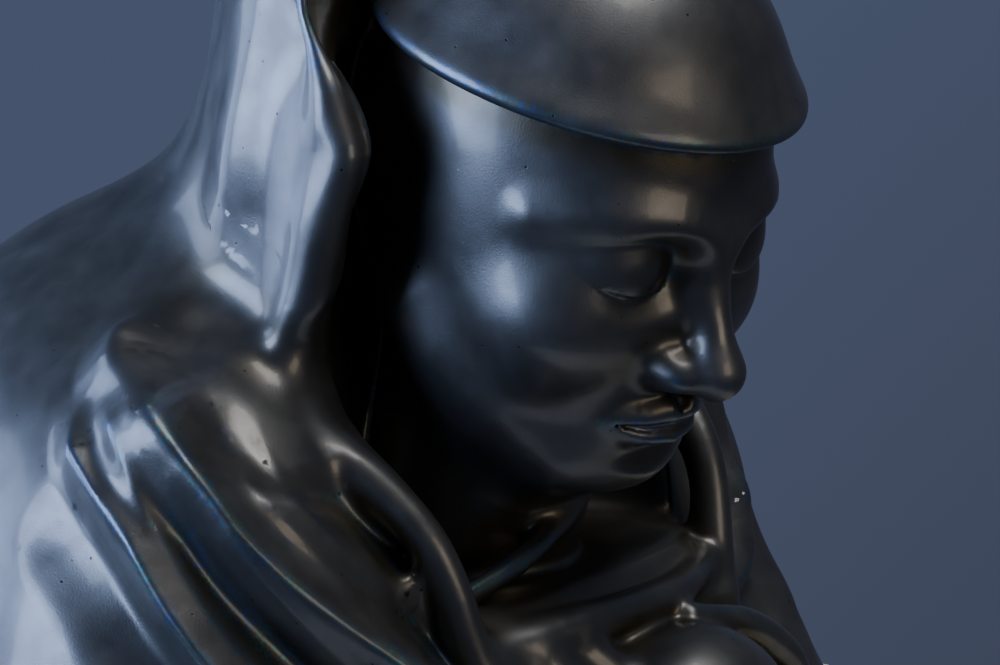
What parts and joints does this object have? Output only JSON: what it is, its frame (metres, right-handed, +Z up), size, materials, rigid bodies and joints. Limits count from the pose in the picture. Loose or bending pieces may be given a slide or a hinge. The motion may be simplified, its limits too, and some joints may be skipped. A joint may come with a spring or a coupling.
{
  "type": "daruma figure",
  "caption": "Bust of a seated daruma figure in dark lustre-glazed stoneware: bowed head in a close cap under a deep hood, cloak folds and covered hands.",
  "frame": {"origin": "middle of the flat underside's bounding box, on the surface that the bust stands on", "axes": "+Z up; the figure faces -Y; +X to the figure's left"},
  "size_m": [0.145, 0.1252, 0.145],
  "materials": {
    "gunmetal_glaze": "iron-black stoneware glaze with a pewter lustre, satin gloss, breaking cobalt blue along the edges and olive brown in the hollows"
  },
  "bodies": {
    "root": {"hooded_figure": "gunmetal_glaze"}
  },
  "joints": []
}
